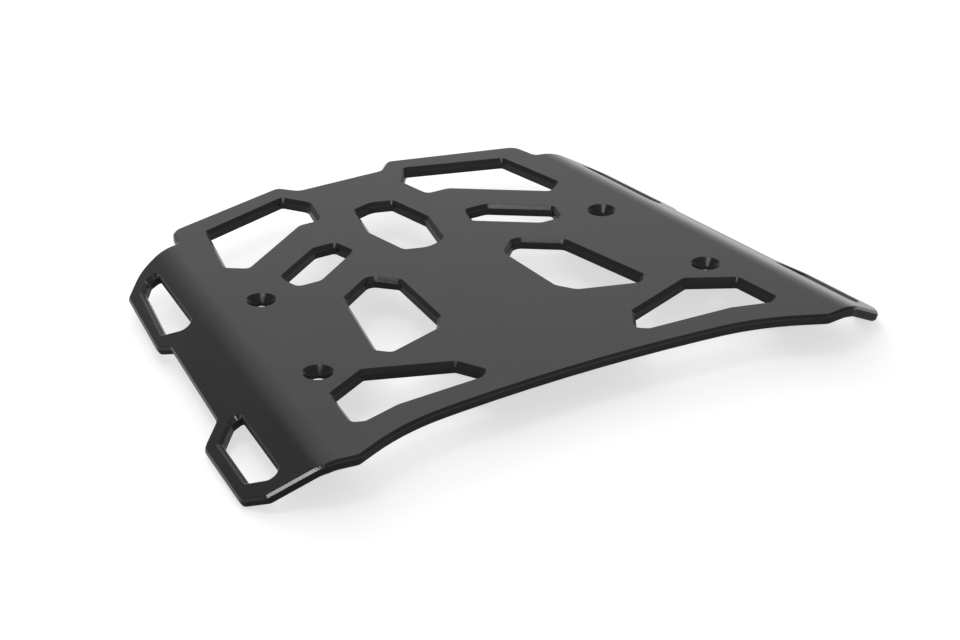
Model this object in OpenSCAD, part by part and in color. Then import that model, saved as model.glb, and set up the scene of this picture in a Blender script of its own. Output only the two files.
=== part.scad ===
// Motorcycle luggage rack: one folded plate. A flat field with windows cut through it carries
// the load, and a wing with two grab slots is bent down along each side.
// Origin in the middle of the four mounting holes, on the underside; x to the right, y to the rear, z up.
// Every outline is drawn flat, at the top face, and then folded over the bend. A place on a wing is given
// as [distance outward from the bend line, distance to the rear along it].

/* [Plate] */
// Thickness of the plate
plate_t = 6; // [5:0.5:8]
// Chamfer round the outside of the plate, above and below
rim_chamfer = 1.4; // [0.6:0.1:2]
// Chamfer round the upper edge of every opening
opening_chamfer = 2; // [0.6:0.1:2.4]
// Radius of the tight corners, at the top face
corner_r = 4; // [3.5:0.5:5]
// Radius of the open corners, at the top face
open_r = 7; // [5:0.5:9]

/* [Mounting holes] */
// Distance between the two rear holes
rear_hole_span = 209.4; // [204:0.2:214]
// Distance between the two front holes
front_hole_span = 230.8; // [226:0.2:236]
// Distance from the rear row of holes to the front row
hole_row_span = 85; // [80:0.5:90]
// Clearance diameter of a hole
hole_d = 8.4; // [6.4:0.1:9]
// Diameter of the countersink at the top face
sink_d = 16; // [13:0.5:18]
// Full angle of the countersink
sink_angle = 90; // [82:1:100]

/* [Bends] */
// Distance from the origin to the bend line
bend_x = 137; // [134:0.5:142]
// Angle between the bend line and the y axis
bend_taper = 6.6; // [5:0.1:8]
// How far the wings are bent down
bend_angle = 30; // [20:1:40]
// Radius of the bend on the underside
bend_r = 20; // [12:1:26]

/* [Outline] */
// Distance from the origin to the rear edge, in its notch
rear_y = 153.2; // [148:0.2:158]
// Width of the notch in the rear edge
notch_w = 53.6; // [44:0.2:60]
// How far the rear edge stands out on each side of the notch
notch_h = 9.5; // [6:0.5:12]
// Slope of the notch's ends
notch_slope = 47; // [40:1:60]
// Slope of the rear edge beside the notch
rear_slope = 15.7; // [13:0.1:18]
// Distance from the centre line to the rear shoulder
shoulder_x = 108.4; // [104:0.2:112]
// Distance from the origin to the front edge at the centre line
front_y = 101.7; // [98:0.1:105]
// Radius of the long hollow curve in the middle of the front edge
front_r = 850; // [700:10:1200]
// Distance from the centre line to the end of the long curve
front_x = 80; // [60:1:90]
// Radius of the short hollow curve beside it
front_side_r = 132; // [110:1:160]
// Slope of the front edge at the end of the short curve
front_slope = 25.5; // [22:0.5:29]

/* [Wings] */
// Distance from the origin to the front end of a wing, along the bend line
wing_front = 137.8; // [134:0.2:142]
// Width of the wing at the waist between the slots
waist_w = 27.4; // [25:0.2:32]
// Width of the wing at the front slot
front_wing_w = 41.5; // [38:0.5:46]
// Width of the wing at the rear slot
rear_wing_w = 32.2; // [30:0.2:36]
// Width of the bar outside the front slot
front_bar_w = 5.1; // [4:0.1:8]
// Width of the bar outside the rear slot
rear_bar_w = 4.5; // [4:0.1:7]

/* [Slots] */
// Distance from the bend line to the front slot
front_slot_x = 17.9; // [14:0.1:22]
// Length of the front slot
front_slot_l = 67.8; // [50:0.1:72]
// Material in front of the front slot
front_slot_rim = 8.7; // [8:0.1:16]
// Distance from the bend line to the rear slot
rear_slot_x = 9.2; // [8:0.1:14]
// Length of the rear slot
rear_slot_l = 69.8; // [50:0.1:74]
// Where the rear slot starts, along the bend line
rear_slot_y = 24.2; // [20:0.1:32]
// Radius of the slots' sharp front corners, at the top face
slot_r = 5.6; // [4:0.1:6.5]

/* [Windows] */
// Width of the sloping ribs and of the struts beside the centre window
rib_w = 19.5; // [16:0.5:22]
// Slope of the ribs
rib_angle = 35.6; // [33:0.2:38]
// Lean of the struts and of the windows' long sides
lean = 12.4; // [10:0.1:14]
// Slope of the windows' ends
end_slope = 18; // [15:0.5:21]
// Width of the centre window
centre_w = 38.4; // [32:0.2:42]
// Length of the centre window
centre_l = 66.7; // [58:0.1:72]
// Distance from the origin to the middle of the centre window
centre_y = 85.4; // [82:0.1:88]
// Width of the middle windows, across the ribs
mid_w = 22.3; // [18:0.1:26]
// Length of the middle windows
mid_l = 49.6; // [42:0.1:54]
// Distance from the centre line to the middle of a middle window
mid_x = 60.8; // [58:0.2:64]
// Distance from the origin to the middle of a middle window
mid_y = 64.8; // [62:0.2:67]
// Width of the plate behind the rear windows
rear_rim = 10.3; // [8:0.1:14]
// Width of the plate outside the rear windows
side_rim = 15.2; // [12:0.1:20]
// Distance from the rear holes to the rear windows
rear_land = 35.6; // [30:0.1:40]
// Distance from the centre line to the front windows
spine_w = 32.5; // [26:0.1:36]
// Distance from the front holes to the front windows
front_land = 28.5; // [24:0.1:32]
// Distance from the origin to the front side of the front windows, square to it
front_window_y = 18.2; // [14:0.1:22]
// Width of the plate in front of the nose windows
nose_rim = 15.9; // [13:0.1:20]
// Distance from the front holes to the nose windows
nose_land = 16.5; // [13:0.1:20]
// Distance from the bend line to the nose windows
nose_side = 25.5; // [20:0.1:30]

/* [Hidden] */

// Facets of the curves: degrees a step on a corner, and steps over the bend and along the front edge
arc_step = 12;
bend_steps = 8;
front_steps = 4;
side_steps = 7;

// How far a cutter reaches past the sheet, and the size of a block that covers half of it
clear = 1;
big = 300;
$fn = 96;

// The wing reaches this far into the end of the bend, so that the two are one solid
joint = 0.001;

top_bend_r = bend_r + plate_t;
bend_arc = top_bend_r * bend_angle * PI / 180;
bend_start = bend_x - bend_arc / 2;
wing_l = 1.5 * front_wing_w;

rear_hole = [rear_hole_span / 2, hole_row_span / 2];
front_hole = [front_hole_span / 2, -hole_row_span / 2];

function unit(p) = p / norm(p);
function out_of(p, q) = let (u = unit(q - p)) [u.y, -u.x];
function xy(p) = [p.x, p.y];
function toward(a) = [cos(a), sin(a)];

// Where two straight lines meet, each given by the direction of its normal and its distance from the origin
function meet(a, da, b, db) =
    [da * sin(b) - db * sin(a), db * cos(a) - da * cos(b)] / sin(b - a);

// Corners [x, y, radius] of a window from its sides, in turn: the direction that a side faces,
// its distance from the origin and the radius of the corner at its end
function corners(sides) = [
    for (i = [0:len(sides) - 1]) let (p = sides[i], q = sides[(i + 1) % len(sides)])
        concat(meet(p[0], p[1], q[0], q[1]), p[2])
];

// Flat position of a place on the wing
function on_wing(out, along) =
    [(bend_x + out) * cos(bend_taper) - along * sin(bend_taper),
     (bend_x + out) * sin(bend_taper) + along * cos(bend_taper)];
function wing_corner(p, r) = concat(on_wing(p.x, p.y), r);

// The points that let a straight edge follow the bend, between two places on the wing
function across(p, q) = let (
        turn = q.x > p.x ? [0:bend_steps + 1] : [bend_steps + 1:-1:0],
        outs = [for (k = turn) bend_arc * ((k - 0.5) / bend_steps - 0.5)])
    [for (x = outs) if ((x - p.x) * (x - q.x) < 0) wing_corner(p + (q - p) * (x - p.x) / (q.x - p.x), 0)];

// Closed outline with rounded corners from corners [x, y, radius], grown outward by g
function rounded(pts, g) = let (n = len(pts)) [
    for (i = [0:n - 1]) let (
        p = xy(pts[i]),
        r = pts[i][2],
        n1 = out_of(xy(pts[(i + n - 1) % n]), p),
        n2 = out_of(p, xy(pts[(i + 1) % n])),
        mitre = (n1 + n2) / (1 + n1 * n2),
        turn = atan2(cross(n1, n2), n1 * n2),
        s = sign(turn),
        steps = r == 0 ? 0 : ceil(abs(turn) / arc_step))
        if (steps == 0) p + g * mitre
        else for (k = [0:steps])
            p - s * r * mitre + (s * r + g) * toward(atan2(n1.y, n1.x) + turn * k / steps)
];

// Folded position of a flat point at height h over the underside
function folded(p, h) = let (
    side = p.x < 0 ? -1 : 1,
    w = abs(p.x) * cos(bend_taper) + p.y * sin(bend_taper) - bend_start,
    v = p.y * cos(bend_taper) - abs(p.x) * sin(bend_taper),
    a = min(max(w, 0) / top_bend_r * 180 / PI, bend_angle),
    rest = w < 0 ? w : max(w - bend_arc, 0),
    out = bend_start + (bend_r + h) * sin(a) + rest * cos(a),
    z = (bend_r + h) * cos(a) - bend_r - rest * sin(a))
    [side * (out * cos(bend_taper) - v * sin(bend_taper)), out * sin(bend_taper) + v * cos(bend_taper), z];

// Outline of the right half, from the front edge round to the rear edge
front_turn = asin(front_x / front_r);
side_turn = front_slope - front_turn;
function front_curve(a) = a < front_turn
    ? [front_r * sin(a), -front_y - front_r * (1 - cos(a))]
    : [0, -front_y - front_r] + (front_r - front_side_r) * [sin(front_turn), cos(front_turn)]
        + front_side_r * [sin(a), cos(a)];

front_slot_y = front_slot_rim - wing_front;
front_slot_end = front_slot_y + front_slot_l;
rear_slot_end = rear_slot_y + rear_slot_l;

// Corner between the short curve and the wing, inward from the bend line
corner_in = 16.535;
// Where the front edge leaves the bend, how far it slants back, and the cut corner at its end
kink_out = 0.2;
nose_slant = 8.3;
nose_cut = 10.1;
// Where the front lobe ends and the waist starts, from the end of the front slot
lobe_stop = 6.2;
waist_start = 6.3;
// How much wider the waist is at its front and narrower at its rear
waist_flare = 1;
waist_draw = 1.3;
// Where the waist ends, and the length and rear corner of the rear lobe's side, from its slot
waist_stop = 0.4;
rear_lobe_rise = 8;
rear_lobe_draw = [3, 4];
// Wide turn at the rear of the wing and the place where the wing meets the plate, from the rear slot's end
wing_turn = [16.4, 10.1];
wing_turn_r = 25;
root_place = [-10.7, 18.2];

wing_kink = [kink_out, -wing_front];
wing_nose = [front_wing_w - nose_cut, nose_slant - wing_front];
wing_rear = [0, rear_slot_end] + wing_turn;
wing_root = [0, rear_slot_end] + root_place;

horn = [notch_w / 2 + notch_h / tan(notch_slope), rear_y + notch_h];
shoulder = [shoulder_x, horn.y - (shoulder_x - horn.x) * tan(rear_slope)];

half_outline = concat(
    [for (k = [0.5:front_steps]) concat(front_curve(front_turn * k / front_steps), 0)],
    [for (k = [0:side_steps]) concat(front_curve(front_turn + side_turn * k / side_steps), 0)],
    [wing_corner([-corner_in, -wing_front], corner_r)],
    across([-bend_arc, -wing_front], wing_kink),
    [wing_corner(wing_kink, 0)],
    across(wing_kink, wing_nose),
    [
        wing_corner(wing_nose, corner_r),
        wing_corner([front_wing_w, nose_slant + nose_cut - wing_front], corner_r),
        wing_corner([front_wing_w, front_slot_end - lobe_stop], open_r),
        wing_corner([waist_w + waist_flare, front_slot_end + waist_start], open_r),
        wing_corner([waist_w - waist_draw, rear_slot_y + waist_stop], corner_r),
        wing_corner([rear_wing_w, rear_slot_y + waist_stop + rear_lobe_rise], corner_r),
        wing_corner([rear_wing_w, rear_slot_end] - rear_lobe_draw, corner_r),
        wing_corner(wing_rear, wing_turn_r)
    ],
    across(wing_rear, wing_root),
    [
        wing_corner(wing_root, corner_r),
        concat(shoulder, open_r),
        concat(horn, corner_r),
        [notch_w / 2, rear_y, open_r]
    ]);

function mirrored(pts) = [for (i = [len(pts) - 1:-1:0]) [-pts[i].x, pts[i].y, pts[i][2]]];
outline = concat(half_outline, mirrored(half_outline));

// Windows of the right half, each from its sides
across_rib = 90 - rib_angle;
window_end = 90 - end_slope;
centre_side = [centre_w / 2, centre_y] * toward(lean);
mid_rear = [mid_x, mid_y] * toward(across_rib) + mid_w / 2;
mid_front = mid_rear - mid_w;

// Rear window: the rim, the side along the notch, the ribs to the centre and middle windows, the land of
// the rear hole and the rim on the side. The side along the notch has its slope in degrees.
notch_side = 54;
notch_rim = 1.1 * rear_rim;
rear_window_l = 40.8;
rear_window = corners([
    [window_end, horn * toward(window_end) - rear_rim, corner_r],
    [90 + notch_side, [notch_w / 2, rear_y] * toward(90 + notch_side) - notch_rim, open_r],
    [180 + lean, -centre_side - rib_w, corner_r],
    [270, rear_window_l - rear_y, open_r],
    [180 + across_rib, -mid_rear - rib_w, corner_r],
    [-across_rib, rear_hole * toward(-across_rib) - rear_land, corner_r],
    [lean, shoulder * toward(lean) - side_rim, corner_r]
]);

// Middle window: a half of three sides, turned round its middle for the other half. The end leans by
// this many degrees.
mid_end = 15;
mid_reach = 18.6;
mid_window = corners([for (a = [0, 180]) let (c = [mid_x, mid_y]) each [
    [a + 90, c * toward(a + 90) + mid_reach, corner_r],
    [a + 180 - mid_end, c * toward(a + 180 - mid_end) + mid_l / 2, corner_r],
    [a + 180 + across_rib, c * toward(a + 180 + across_rib) + mid_w / 2, open_r]
]]);

// Front window: the rib to the middle window, a cut corner, the spine with its knee, the front side, and
// two sides round the land of the front hole. The spine and the land lean by so many degrees, and the cut
// corner and the knee face that way at that distance.
front_cut = [135, 3.8];
spine_side = 3.6;
spine_knee = [215, 17.5];
land_side = 45;
land_extra = 3.8;
front_window = corners([
    [across_rib, mid_front - rib_w, open_r],
    [front_cut[0], -front_cut[1], corner_r],
    [180 + spine_side, -spine_w, open_r],
    [spine_knee[0], spine_knee[1] - spine_w, open_r],
    [180 + window_end, front_window_y, corner_r],
    [270 + land_side, front_hole * toward(270 + land_side) - front_land, corner_r],
    [lean, front_hole * toward(lean) - front_land - land_extra, open_r]
]);

// Nose window: the rear side, the inner side and its tip, two sides along the front edge that meet at the
// kink, the outer corner, the side along the bend and the land of the front hole, which slopes by so many
// degrees. The pairs are a direction and a distance.
nose_rear = [111, 99.7];
nose_inner = [150.5, 78.2];
nose_tip = [232, 39.8];
nose_kink = [97.2, nose_rim - 5.4 - front_y];
nose_fronts = [267, 254];
nose_outer = [-68, 11.1];
nose_bend = bend_taper + 1;
nose_hole = 29;
nose_window = corners([
    [nose_rear[0], front_window_y - nose_rear[1], corner_r],
    [nose_inner[0], -nose_inner[1], corner_r],
    concat(nose_tip, corner_r),
    [nose_fronts[0], nose_kink * toward(nose_fronts[0]), open_r],
    [nose_fronts[1], nose_kink * toward(nose_fronts[1]), corner_r],
    [nose_outer[0], [bend_x, -front_y] * toward(nose_outer[0]) - nose_outer[1], corner_r],
    [nose_bend, bend_x - nose_side, corner_r],
    [90 - nose_hole, front_hole * toward(90 - nose_hole) - nose_land, corner_r]
]);

// Centre window, from its front tip round to its rear tip
tip_r = 3 * corner_r;
centre_end = [centre_side, (centre_y + centre_l / 2) * sin(window_end)];
centre_shoulder = meet(lean, centre_end[0], window_end, centre_end[1]);
centre_half = [
    [0, centre_y - centre_l / 2, tip_r],
    [centre_shoulder.x, 2 * centre_y - centre_shoulder.y, corner_r],
    [centre_w / 2, centre_y, open_r],
    concat(centre_shoulder, corner_r),
    [0, centre_y + centre_l / 2, tip_r]
];
centre_window = concat(centre_half, mirrored([for (i = [1:3]) centre_half[i]]));

// Slots of the right wing: how far the front end slants, how the outer side draws in and stops before the
// rear end, and the width of that end
rear_slot_slant = 15;
rear_slot_draw = [3.9, 7];
rear_slot_tip = 9.2;
rear_slot = [
    wing_corner([rear_slot_x, rear_slot_end], corner_r),
    wing_corner([rear_slot_x, rear_slot_y], slot_r),
    wing_corner([rear_wing_w - rear_bar_w, rear_slot_y + rear_slot_slant], corner_r),
    wing_corner([rear_wing_w - rear_bar_w, rear_slot_end] - rear_slot_draw, corner_r),
    wing_corner([rear_slot_x + rear_slot_tip, rear_slot_end], corner_r)
];

front_slot_slant = 17;
front_slot_stop = 9.9;
front_slot_tip = 8.9;
front_slot = [
    wing_corner([front_slot_x, front_slot_end], corner_r),
    wing_corner([front_slot_x, front_slot_y], slot_r),
    wing_corner([front_wing_w - front_bar_w, front_slot_y + front_slot_slant], corner_r),
    wing_corner([front_wing_w - front_bar_w, front_slot_end - front_slot_stop], corner_r),
    wing_corner([front_slot_x + front_slot_tip, front_slot_end], corner_r)
];

// Closed solid through a stack of rings that have as many points each
module stack(rings) {
    n = len(rings[0]);
    last = len(rings) - 1;
    polyhedron(
        points = [for (ring = rings) each ring],
        faces = concat(
            [[for (i = [0:n - 1]) i], [for (i = [n - 1:-1:0]) last * n + i]],
            [for (k = [0:last - 1], i = [0:n - 1]) let (j = (i + 1) % n, low = k * n, high = low + n)
                each [[low + i, high + i, high + j], [low + i, high + j, low + j]]]));
}

// Ring of an outline grown by g, folded at height h
function ring(pts, g, h) = [for (p = rounded(pts, g)) folded(p, h)];
function level(ring, z) = [for (p = ring) [p.x, p.y, z]];

// What an opening takes out of the plate, with the chamfer of its upper edge
module opening(pts) {
    stack([
        ring(pts, -opening_chamfer, -clear),
        ring(pts, -opening_chamfer, plate_t - opening_chamfer),
        ring(pts, clear, plate_t + clear)
    ]);
}

// What the outline keeps of the plate, with the chamfers of its upper and lower edges
module inside(pts) {
    lower = ring(pts, -clear, -clear);
    upper = ring(pts, -clear, plate_t + clear);
    stack([
        level(lower, -wing_l),
        lower,
        ring(pts, rim_chamfer, rim_chamfer),
        ring(pts, rim_chamfer, plate_t - rim_chamfer),
        upper,
        level(upper, plate_t + 2 * clear)
    ]);
}

// Countersunk clearance hole at a flat position
module screw_hole(p) {
    sink_h = (sink_d - hole_d) / 2 / tan(sink_angle / 2);
    rim_r = sink_d / 2 + clear * tan(sink_angle / 2);
    translate([p.x, p.y, -clear]) cylinder(d = hole_d, h = plate_t + 2 * clear);
    translate([p.x, p.y, plate_t - sink_h]) cylinder(r1 = hole_d / 2, r2 = rim_r, h = sink_h + clear);
}

// Section of the sheet, seen along the bend line, from the flat field out to the wing
module section() {
    translate([-wing_l, 0]) square([bend_start + wing_l, plate_t]);
    translate([bend_start, -bend_r]) {
        intersection() {
            difference() {
                circle(r = top_bend_r);
                circle(r = bend_r);
            }
            polygon([[0, 0], [0, 2 * top_bend_r], 2 * top_bend_r * [tan(bend_angle), 1]]);
        }
        rotate(-bend_angle) translate([-joint, bend_r]) square([wing_l, plate_t]);
    }
}

// The right half of the sheet, folded, before its outline is cut
module half_sheet() {
    intersection() {
        rotate([90, 0, bend_taper]) linear_extrude(height = 2 * big, center = true) section();
        translate([0, -big, -big]) cube([big, 2 * big, 2 * big]);
    }
}

module both_sides() {
    children();
    mirror([1, 0, 0]) children();
}

module rack_plate() {
    color([0.16, 0.16, 0.17]) difference() {
        intersection() {
            both_sides() half_sheet();
            inside(outline);
        }
        both_sides() {
            opening(rear_window);
            opening(mid_window);
            opening(front_window);
            opening(nose_window);
            opening(rear_slot);
            opening(front_slot);
            screw_hole(rear_hole);
            screw_hole(front_hole);
        }
        opening(centre_window);
    }
}

rack_plate();
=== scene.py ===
import math

import bmesh
import bpy
from mathutils import Matrix, Vector


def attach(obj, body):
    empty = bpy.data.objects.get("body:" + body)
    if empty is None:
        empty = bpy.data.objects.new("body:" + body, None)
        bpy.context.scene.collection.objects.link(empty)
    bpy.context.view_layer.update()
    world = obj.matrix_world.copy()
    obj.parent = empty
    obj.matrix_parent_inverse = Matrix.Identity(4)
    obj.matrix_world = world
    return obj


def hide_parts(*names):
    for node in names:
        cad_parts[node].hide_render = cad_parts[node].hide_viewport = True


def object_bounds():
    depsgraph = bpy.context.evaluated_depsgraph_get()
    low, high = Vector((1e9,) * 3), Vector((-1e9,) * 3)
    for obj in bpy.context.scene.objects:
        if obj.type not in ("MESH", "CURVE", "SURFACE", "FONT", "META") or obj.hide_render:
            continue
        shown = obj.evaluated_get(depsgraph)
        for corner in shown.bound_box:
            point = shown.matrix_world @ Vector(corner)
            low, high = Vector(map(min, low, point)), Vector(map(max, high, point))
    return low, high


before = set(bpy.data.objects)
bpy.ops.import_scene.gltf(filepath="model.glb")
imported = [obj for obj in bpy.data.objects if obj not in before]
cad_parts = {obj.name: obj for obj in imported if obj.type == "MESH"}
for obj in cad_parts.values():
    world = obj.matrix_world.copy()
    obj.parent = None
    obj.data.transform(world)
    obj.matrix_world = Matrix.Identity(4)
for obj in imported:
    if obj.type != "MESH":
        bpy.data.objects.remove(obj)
CAD_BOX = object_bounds()
LOWEST = CAD_BOX[0].z

# Points closer than this are one point, and a point this near a face of the sheet lies on it
SAME_POINT = 0.000002
ON_SHEET = 0.00001
# Faces that turn less than this are one flat face, and edges that turn more than this are rounded
FLAT = math.radians(0.2)
CREASE = math.radians(28)
# The floor lies this far under the lowest point of the plate
FLOOR_GAP = 0.0002

bl_info = {
    "name": "Luggage Rack Plate",
    "version": (1, 0, 0),
    "blender": (4, 5, 0),
    "location": "View3D > Sidebar > Rack",
    "description": "Finishes a folded luggage rack plate and sets it on a pale studio floor",
    "category": "Object",
}


class PlateSettings(bpy.types.PropertyGroup):
    """Form and finish of the plate"""
    coat_colour: bpy.props.FloatVectorProperty(
        name="Coat colour",
        description="Colour of the baked powder coat",
        subtype="COLOR", size=4, min=0, max=1,
        default=(0.0085, 0.0086, 0.0088, 1.0))
    # The paler edge colour is partly thin coat and partly a painted sheen on the edges
    edge_wear_and_sheen_colour: bpy.props.FloatVectorProperty(
        name="Edge colour",
        description="Colour of the coat where it thins over an edge",
        subtype="COLOR", size=4, min=0, max=1,
        default=(0.0125, 0.0128, 0.0134, 1.0))
    sheen_roughness: bpy.props.FloatProperty(
        name="Roughness",
        description="Middle roughness of the satin coat",
        default=0.22, min=0.05, max=1)
    cloud_size: bpy.props.FloatProperty(
        name="Cloud size",
        description="Spacing of the faint clouds in the coat",
        subtype="DISTANCE", unit="LENGTH",
        default=0.045, min=0.005, max=0.5)
    # The patches also lay out the painted sheen on the edges
    patch_size: bpy.props.FloatProperty(
        name="Patch size",
        description="Spacing of the patches where the coat thins along an edge",
        subtype="DISTANCE", unit="LENGTH",
        default=0.012, min=0.001, max=0.1)
    grain_size: bpy.props.FloatProperty(
        name="Grain size",
        description="Spacing of the fine grain in the coat",
        subtype="DISTANCE", unit="LENGTH", precision=5,
        default=0.00055, min=0.0001, max=0.01)
    peel_size: bpy.props.FloatProperty(
        name="Orange peel size",
        description="Spacing of the soft ripple left when the powder flows",
        subtype="DISTANCE", unit="LENGTH", precision=5,
        default=0.0032, min=0.0005, max=0.05)
    grain_depth: bpy.props.FloatProperty(
        name="Grain depth",
        description="Height of the fine grain and of the ripple",
        subtype="DISTANCE", unit="LENGTH", precision=6,
        default=0.000024, min=0, max=0.001)
    edge_round: bpy.props.FloatProperty(
        name="Edge rounding",
        description="Width of the small round that the coat leaves on each edge",
        subtype="DISTANCE", unit="LENGTH", precision=5,
        default=0.0002, min=0.00005, max=0.001)
    thickness: bpy.props.FloatProperty(
        name="Thickness",
        description="Thickness of the sheet",
        subtype="DISTANCE", unit="LENGTH",
        default=0.006, min=0.001, max=0.02)
    bend_line: bpy.props.FloatProperty(
        name="Bend line",
        description="Flat distance from the middle to the middle of each bend",
        subtype="DISTANCE", unit="LENGTH",
        default=0.137, min=0.05, max=0.5)
    bend_radius: bpy.props.FloatProperty(
        name="Bend radius",
        description="Radius of each bend on the underside",
        subtype="DISTANCE", unit="LENGTH",
        default=0.02, min=0.002, max=0.1)
    bend_angle: bpy.props.FloatProperty(
        name="Bend angle",
        description="Angle through which each wing is folded down",
        subtype="ANGLE", unit="ROTATION",
        default=math.radians(30), min=0, max=math.pi / 2)
    bend_taper: bpy.props.FloatProperty(
        name="Bend taper",
        description="Angle between each bend line and the middle line",
        subtype="ANGLE", unit="ROTATION",
        default=math.radians(6.6), min=0, max=math.pi / 4)


class StageSettings(bpy.types.PropertyGroup):
    """Floor, surroundings, lamps and camera"""
    floor_colour: bpy.props.FloatVectorProperty(
        name="Floor colour",
        description="Colour of the pale floor",
        subtype="COLOR", size=4, min=0, max=1,
        default=(0.86, 0.86, 0.86, 1.0))
    floor_shade_colour: bpy.props.FloatVectorProperty(
        name="Floor shadow colour",
        description="Share of the floor's shading that the camera sees over the lift",
        subtype="COLOR", size=4, min=0, max=1,
        default=(0.5, 0.5, 0.5, 1.0))
    floor_gloss_colour: bpy.props.FloatVectorProperty(
        name="Floor colour in gloss",
        description="Colour of the floor where the coat mirrors it from close by",
        subtype="COLOR", size=4, min=0, max=1,
        default=(0.15, 0.15, 0.15, 1.0))
    floor_size: bpy.props.FloatProperty(
        name="Floor size",
        description="Side of the square floor",
        subtype="DISTANCE", unit="LENGTH",
        default=12.0, min=1, max=100)
    floor_lift: bpy.props.FloatProperty(
        name="Floor lift",
        description="How far the floor is lifted to white round the plate, where the camera sees it",
        default=0.645, min=0, max=1)
    fade_start: bpy.props.FloatProperty(
        name="Fade start",
        description="Distance from the middle to where the floor starts to fade to white",
        subtype="DISTANCE", unit="LENGTH",
        default=0.5, min=0, max=10)
    fade_end: bpy.props.FloatProperty(
        name="Fade end",
        description="Distance from the middle to where the floor is wholly white",
        subtype="DISTANCE", unit="LENGTH",
        default=1.5, min=0, max=10)
    backdrop_side: bpy.props.FloatVectorProperty(
        name="Backdrop side",
        description="Direction of the white backdrop, as gloss shows it",
        subtype="DIRECTION", size=3,
        default=(0.50, 0.85, 0.15))
    horizon_level: bpy.props.FloatProperty(
        name="Backdrop level",
        description="Brightness of the middle of the backdrop, as gloss shows it",
        default=0.88, min=0, max=2)
    overhead_level: bpy.props.FloatProperty(
        name="Studio level",
        description="Brightness of the surroundings away from the backdrop, as gloss shows them",
        default=0.25, min=0, max=2)
    front_side: bpy.props.FloatVectorProperty(
        name="Front side",
        description="Direction of the paler surroundings in front, as gloss shows them",
        subtype="DIRECTION", size=3,
        default=(0.30, -0.90, 0.30))
    front_level: bpy.props.FloatProperty(
        name="Front level",
        description="Brightness that is added in front, as gloss shows it",
        default=0.7, min=0, max=2)
    low_level: bpy.props.FloatProperty(
        name="Low level",
        description="Brightness that is added along the horizon, as gloss shows it",
        default=0.4, min=0, max=2)
    zenith_level: bpy.props.FloatProperty(
        name="Ceiling level",
        description="Brightness that is added straight above, as gloss shows it",
        default=0.8, min=0, max=2)
    fill_level: bpy.props.FloatProperty(
        name="Fill level",
        description="Even light from all round on matt surfaces",
        default=0.5, min=0, max=2)
    key_place: bpy.props.FloatVectorProperty(
        name="Key lamp place",
        description="Place of the soft lamp overhead, a little to the left",
        subtype="TRANSLATION", unit="LENGTH", size=3,
        default=(-0.45, -0.22, 1.25))
    key_power: bpy.props.FloatProperty(
        name="Key lamp",
        description="Power of the key lamp",
        subtype="POWER", unit="POWER",
        default=2.4, min=0, max=1000)
    key_size: bpy.props.FloatProperty(
        name="Key lamp size",
        description="Side of the square key lamp",
        subtype="DISTANCE", unit="LENGTH",
        default=0.45, min=0.05, max=3)
    top_place: bpy.props.FloatVectorProperty(
        name="Top lamp place",
        description="Place of the wide soft lamp overhead, a little behind",
        subtype="TRANSLATION", unit="LENGTH", size=3,
        default=(0.15, 0.75, 1.35))
    top_power: bpy.props.FloatProperty(
        name="Top lamp",
        description="Power of the top lamp",
        subtype="POWER", unit="POWER",
        default=2.5, min=0, max=1000)
    top_size: bpy.props.FloatProperty(
        name="Top lamp size",
        description="Side of the square top lamp",
        subtype="DISTANCE", unit="LENGTH",
        default=1.2, min=0.05, max=5)
    side_place: bpy.props.FloatVectorProperty(
        name="Side lamp place",
        description="Place of the soft lamp low on the left, which gives gloss alone",
        subtype="TRANSLATION", unit="LENGTH", size=3,
        default=(-1.22, -0.71, 0.69))
    side_power: bpy.props.FloatProperty(
        name="Side lamp",
        description="Power of the side lamp",
        subtype="POWER", unit="POWER",
        default=5.5, min=0, max=1000)
    side_size: bpy.props.FloatProperty(
        name="Side lamp size",
        description="Side of the square side lamp",
        subtype="DISTANCE", unit="LENGTH",
        default=0.35, min=0.05, max=3)
    back_place: bpy.props.FloatVectorProperty(
        name="Back lamp place",
        description="Place of the wide low lamp behind, which gives the floor's shadow and no gloss",
        subtype="TRANSLATION", unit="LENGTH", size=3,
        default=(0.2, 1.35, 0.75))
    back_power: bpy.props.FloatProperty(
        name="Back lamp",
        description="Power of the back lamp",
        subtype="POWER", unit="POWER",
        default=10.0, min=0, max=1000)
    back_size: bpy.props.FloatProperty(
        name="Back lamp size",
        description="Side of the square back lamp",
        subtype="DISTANCE", unit="LENGTH",
        default=1.2, min=0.05, max=5)
    camera_place: bpy.props.FloatVectorProperty(
        name="Camera place",
        description="Place of the camera",
        subtype="TRANSLATION", unit="LENGTH", size=3,
        default=(-0.6028, -1.0404, 0.6092))
    camera_turn: bpy.props.FloatVectorProperty(
        name="Camera turn",
        description="Turn of the camera about x, y and z",
        subtype="EULER", unit="ROTATION", size=3,
        default=(math.radians(62.548), math.radians(0.534), math.radians(-30.426)))
    lens: bpy.props.FloatProperty(
        name="Lens",
        description="Focal length on a frame 36 mm wide",
        subtype="DISTANCE_CAMERA", unit="CAMERA",
        default=96.48, min=10, max=500)


class Amount:
    """A value that changes over a surface. Each operator on it adds a Math node."""

    def __init__(self, shader, socket):
        self.shader = shader
        self.socket = socket

    def _with(self, operation, first, second):
        return self.shader.add(
            "ShaderNodeMath", {"operation": operation}, {0: first, 1: second})

    def __add__(self, other):
        return self._with("ADD", self, other)

    __radd__ = __add__

    def __sub__(self, other):
        return self._with("SUBTRACT", self, other)

    def __rsub__(self, other):
        return self._with("SUBTRACT", other, self)

    def __mul__(self, other):
        return self._with("MULTIPLY", self, other)

    __rmul__ = __mul__


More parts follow.
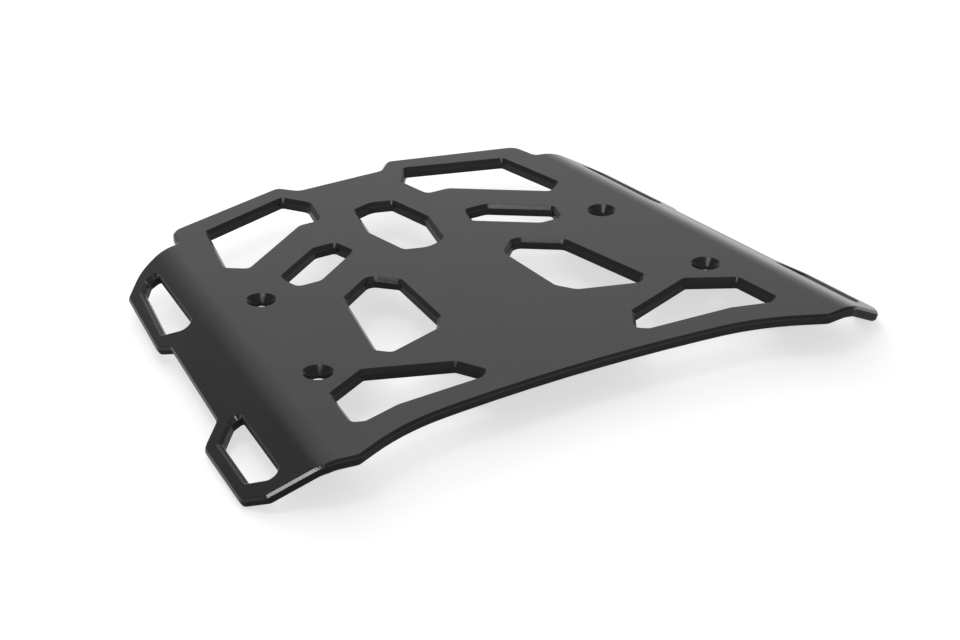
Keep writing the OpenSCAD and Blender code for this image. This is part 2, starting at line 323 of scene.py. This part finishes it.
class Shader:
    """Builds the nodes of one material or of the world."""

    def __init__(self, owner):
        owner.use_nodes = True
        self.tree = owner.node_tree
        self.tree.nodes.clear()

    def add(self, kind, settings=None, sockets=None, output=0):
        """Adds a node: its settings first, then the values or links of its sockets."""
        node = self.tree.nodes.new(kind)
        for name, value in (settings or {}).items():
            setattr(node, name, value)
        for name, value in (sockets or {}).items():
            if isinstance(value, Amount):
                self.tree.links.new(value.socket, node.inputs[name])
            else:
                node.inputs[name].default_value = value
        return Amount(self, node.outputs[output]) if len(node.outputs) else None

    def ray(self, kind):
        """1 on the rays of one kind and 0 on all others."""
        return self.add("ShaderNodeLightPath", output=kind)

    def blend(self, mask, low, high):
        """Mixes two colours by a mask."""
        return self.add(
            "ShaderNodeMix", {"data_type": "RGBA", "clamp_factor": True},
            {0: mask, 6: low, 7: high}, output=2)

    def spread(self, amount, low, high, to_low=0.0, to_high=1.0):
        """Stretches an amount between two levels, with soft ends."""
        return self.add(
            "ShaderNodeMapRange", {"interpolation_type": "SMOOTHSTEP"},
            {"Value": amount, "From Min": low, "From Max": high,
             "To Min": to_low, "To Max": to_high})

    def likeness(self, first, second):
        """Cosine of the angle between two directions."""
        return self.add(
            "ShaderNodeVectorMath", {"operation": "DOT_PRODUCT"}, {0: first, 1: second},
            output="Value")

    def noise(self, place, size, detail=3.0, rough=0.5):
        """Even noise whose spots lie about size apart."""
        return self.add(
            "ShaderNodeTexNoise", {"noise_dimensions": "3D"},
            {"Vector": place, "Scale": 1 / size, "Detail": detail, "Roughness": rough})


def powder_coat(settings):
    """Fine satin powder coat: clouded tone, grain and ripple, smoother on the edges and paler there,
    partly thin coat and partly a painted sheen.
    """
    material = bpy.data.materials.new("powder_coat")
    shader = Shader(material)
    place = shader.add("ShaderNodeTexCoord", output="Object")
    normal = shader.add("ShaderNodeNewGeometry", output="Normal")

    # Within four widths of the round the edges turn paler in patches, partly where the coat thins
    # and partly as a painted sheen
    rounded = shader.add(
        "ShaderNodeBevel", {"samples": 6}, {"Radius": 4 * settings.edge_round})
    patches = shader.noise(place, settings.patch_size, detail=4.0, rough=0.6)
    edge = (shader.spread(1 - shader.likeness(rounded, normal), 0.01, 0.16)
            * shader.spread(patches, 0.3, 0.7, 0.35, 1.0))

    clouds = shader.noise(place, settings.cloud_size, detail=4.0, rough=0.55)
    mottle = shader.noise(place, 4 * settings.peel_size, detail=2.0)
    grain = shader.noise(place, settings.grain_size, detail=2.0, rough=0.6)
    peel = shader.noise(place, settings.peel_size, detail=1.0)

    deep = [0.86 * level for level in settings.coat_colour[:3]] + [1.0]
    pale = [1.16 * level for level in settings.coat_colour[:3]] + [1.0]
    tone = shader.spread(0.6 * clouds + 0.25 * mottle + 0.15 * grain, 0.36, 0.64)
    # Painted sheen: the edges take the paler edge colour, which also stands for the thin coat there
    colour = shader.blend(edge, shader.blend(tone, deep, pale), tuple(settings.edge_wear_and_sheen_colour))

    swing = 0.08
    smooth_edge = 0.05
    roughness = (settings.sheen_roughness - swing + swing * clouds + swing * grain
                 - smooth_edge * edge)
    bump = shader.add(
        "ShaderNodeBump", {},
        {"Height": settings.grain_depth * grain + settings.grain_depth * peel,
         "Distance": 1.0, "Strength": 1.0})
    coat = shader.add(
        "ShaderNodeBsdfPrincipled", {},
        {"Base Color": colour, "Roughness": roughness, "IOR": 1.5, "Normal": bump})
    shader.add("ShaderNodeOutputMaterial", {}, {"Surface": coat})
    return material


def pale_floor(settings):
    """Pale matt floor, lifted to white for the camera and darker close by in the coat's gloss."""
    material = bpy.data.materials.new("pale_floor")
    shader = Shader(material)
    place = shader.add("ShaderNodeTexCoord", output="Object")
    seen = shader.ray("Is Camera Ray")
    in_gloss = shader.ray("Is Glossy Ray")
    colour = shader.blend(
        seen, tuple(settings.floor_colour), tuple(settings.floor_shade_colour))
    colour = shader.blend(in_gloss, colour, tuple(settings.floor_gloss_colour))
    matt = shader.add("ShaderNodeBsdfDiffuse", {}, {"Color": colour})

    # Gloss shows the floor bright far off, where it looks along it
    shallow = shader.add("ShaderNodeLayerWeight", {}, {"Blend": 0.5}, output="Facing")
    mirrored = shader.spread(shallow, 0.5, 0.78, 0.1, settings.horizon_level)
    away = shader.add(
        "ShaderNodeVectorMath", {"operation": "LENGTH"}, {0: place}, output="Value")
    lifted = shader.spread(
        away, settings.fade_start, settings.fade_end, settings.floor_lift, 1.0)
    lift = shader.add(
        "ShaderNodeEmission", {},
        {"Color": (1, 1, 1, 1), "Strength": seen * lifted + in_gloss * mirrored})
    look = shader.add("ShaderNodeAddShader", {}, {0: matt, 1: lift})
    shader.add("ShaderNodeOutputMaterial", {}, {"Surface": look})
    return material


def white_surroundings(settings):
    """White behind the plate, and a pale backdrop among darker sides in the coat's gloss."""
    world = bpy.data.worlds.new("surroundings")
    shader = Shader(world)
    direction = shader.add("ShaderNodeTexCoord", output="Generated")
    rise = shader.add("ShaderNodeSeparateXYZ", {}, {0: direction}, output="Z")

    # Each glow fades with the cosine of the angle from its middle, and the low one with height
    backdrop = shader.add(
        "ShaderNodeMapRange", {},
        {"Value": shader.likeness(direction, settings.backdrop_side),
         "From Min": 0.66, "From Max": 1.0,
         "To Min": settings.overhead_level, "To Max": settings.horizon_level})
    front = shader.spread(
        shader.likeness(direction, settings.front_side), 0.75, 0.98, 0.0, settings.front_level)
    low = shader.spread(rise, 0.2, 0.0, 0.0, settings.low_level)
    zenith = shader.spread(rise, 0.9, 1.0, 0.0, settings.zenith_level)
    mirrored = backdrop + front + low + zenith

    seen = shader.ray("Is Camera Ray")
    in_gloss = shader.ray("Is Glossy Ray")
    level = (seen + (1 - seen) * (
        in_gloss * mirrored + (1 - in_gloss) * settings.fill_level))
    white = shader.add(
        "ShaderNodeBackground", {}, {"Color": (1, 1, 1, 1), "Strength": level})
    shader.add("ShaderNodeOutputWorld", {}, {"Surface": white})
    return world


def sheet_facing(place, settings):
    """The way the folded sheet faces at a point of its top or underside, None on its edges."""
    top_radius = settings.bend_radius + settings.thickness
    bend_start = settings.bend_line - top_radius * settings.bend_angle / 2
    across = (abs(place.x) * math.cos(settings.bend_taper)
              + place.y * math.sin(settings.bend_taper))
    past = across - bend_start
    up = place.z + settings.bend_radius
    turn = min(max(math.atan2(past, up), 0.0), settings.bend_angle)
    height = past * math.sin(turn) + up * math.cos(turn) - settings.bend_radius
    if min(abs(height), abs(height - settings.thickness)) > ON_SHEET:
        return None
    outward = math.sin(turn)
    facing = Vector((
        math.copysign(outward * math.cos(settings.bend_taper), place.x),
        outward * math.sin(settings.bend_taper), math.cos(turn)))
    return facing if height > settings.thickness / 2 else -facing


def vertex_facing(vertex, settings):
    """The way a point of the plate faces: the sheet's own, or that of its faces by their area."""
    facing = sheet_facing(vertex.co, settings)
    if facing is None:
        by_area = (face.normal * face.calc_area() for face in vertex.link_faces)
        facing = sum(by_area, Vector()).normalized()
    return facing


def link_piece(context, name, shape, material):
    """Makes an object from a shape at the origin, in one material, and frees the shape."""
    mesh = bpy.data.meshes.new(name)
    shape.to_mesh(mesh)
    shape.free()
    mesh.materials.clear()
    mesh.materials.append(material)
    piece = bpy.data.objects.new(name, mesh)
    context.scene.collection.objects.link(piece)
    return piece


def hang_lamp(context, name, place, size, power):
    """Hangs a square soft lamp that faces the middle of the plate."""
    light = bpy.data.lights.new(name, "AREA")
    light.shape = "SQUARE"
    light.size = size
    light.energy = power
    lamp = bpy.data.objects.new(name, light)
    lamp.location = place
    lamp.rotation_euler = (-Vector(place)).to_track_quat("-Z", "Y").to_euler()
    context.scene.collection.objects.link(lamp)
    return lamp


class RACK_OT_finish_plate(bpy.types.Operator):
    """Rounds the folded plate's edges, smooths its bends and gives it its powder coat"""
    bl_idname = "rack.finish_plate"
    bl_label = "Finish plate"
    bl_options = {"REGISTER", "UNDO"}

    def execute(self, context):
        settings = context.scene.rack_plate
        shape = bmesh.new()
        shape.from_mesh(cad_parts["rack_plate"].data)
        bmesh.ops.remove_doubles(shape, verts=shape.verts, dist=SAME_POINT)
        bmesh.ops.dissolve_limit(
            shape, angle_limit=FLAT, verts=shape.verts, edges=shape.edges)
        creases = [edge for edge in shape.edges if edge.calc_face_angle(0) > CREASE]
        bmesh.ops.bevel(
            shape, geom=creases, offset=settings.edge_round, segments=2, profile=0.5,
            affect="EDGES", clamp_overlap=False, material=-1)
        shape.normal_update()
        facings = [vertex_facing(vertex, settings) for vertex in shape.verts]
        plate = link_piece(context, "folded_plate", shape, powder_coat(settings))
        plate.data.shade_smooth()
        plate.data.normals_split_custom_set_from_vertices(facings)
        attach(plate, "root")
        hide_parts("rack_plate")
        return {"FINISHED"}


class RACK_OT_set_stage(bpy.types.Operator):
    """Adds the pale floor, the white surroundings, the soft lamps and the camera"""
    bl_idname = "rack.set_stage"
    bl_label = "Set stage"
    bl_options = {"REGISTER", "UNDO"}

    def execute(self, context):
        settings = context.scene.rack_stage
        self.lay_floor(context, settings)
        context.scene.world = white_surroundings(settings)
        self.hang_lamps(context, settings)
        self.place_camera(context, settings)
        context.scene.view_settings.view_transform = "Standard"
        return {"FINISHED"}

    def lay_floor(self, context, settings):
        shape = bmesh.new()
        bmesh.ops.create_grid(
            shape, x_segments=1, y_segments=1, size=settings.floor_size / 2,
            matrix=Matrix.Translation((0, 0, LOWEST - FLOOR_GAP)))
        link_piece(context, "floor", shape, pale_floor(settings))

    def hang_lamps(self, context, settings):
        hang_lamp(context, "key lamp", settings.key_place, settings.key_size, settings.key_power)
        hang_lamp(context, "top lamp", settings.top_place, settings.top_size, settings.top_power)
        side = hang_lamp(
            context, "side lamp", settings.side_place, settings.side_size, settings.side_power)
        side.visible_diffuse = False
        back = hang_lamp(
            context, "back lamp", settings.back_place, settings.back_size, settings.back_power)
        back.visible_glossy = False

    def place_camera(self, context, settings):
        camera = bpy.data.objects.new("camera", bpy.data.cameras.new("camera"))
        camera.data.lens = settings.lens
        camera.data.sensor_width = 36.0
        camera.location = settings.camera_place
        camera.rotation_euler = settings.camera_turn
        context.scene.collection.objects.link(camera)
        context.scene.camera = camera


class RACK_PT_panel(bpy.types.Panel):
    """The rack's sizes, colours and steps"""
    bl_label = "Rack"
    bl_idname = "RACK_PT_panel"
    bl_space_type = "VIEW_3D"
    bl_region_type = "UI"
    bl_category = "Rack"

    def draw(self, context):
        for title, settings, step in (
                ("Plate", context.scene.rack_plate, RACK_OT_finish_plate),
                ("Stage", context.scene.rack_stage, RACK_OT_set_stage)):
            box = self.layout.box()
            box.label(text=title)
            for name in settings.__annotations__:
                box.prop(settings, name)
            box.operator(step.bl_idname)


CLASSES = (
    PlateSettings, StageSettings,
    RACK_OT_finish_plate, RACK_OT_set_stage, RACK_PT_panel)


def register():
    for cls in CLASSES:
        bpy.utils.register_class(cls)
    bpy.types.Scene.rack_plate = bpy.props.PointerProperty(type=PlateSettings)
    bpy.types.Scene.rack_stage = bpy.props.PointerProperty(type=StageSettings)


def unregister():
    del bpy.types.Scene.rack_stage
    del bpy.types.Scene.rack_plate
    for cls in reversed(CLASSES):
        bpy.utils.unregister_class(cls)


def main():
    register()
    bpy.ops.rack.finish_plate()
    bpy.ops.rack.set_stage()


if __name__ == "__main__":
    main()
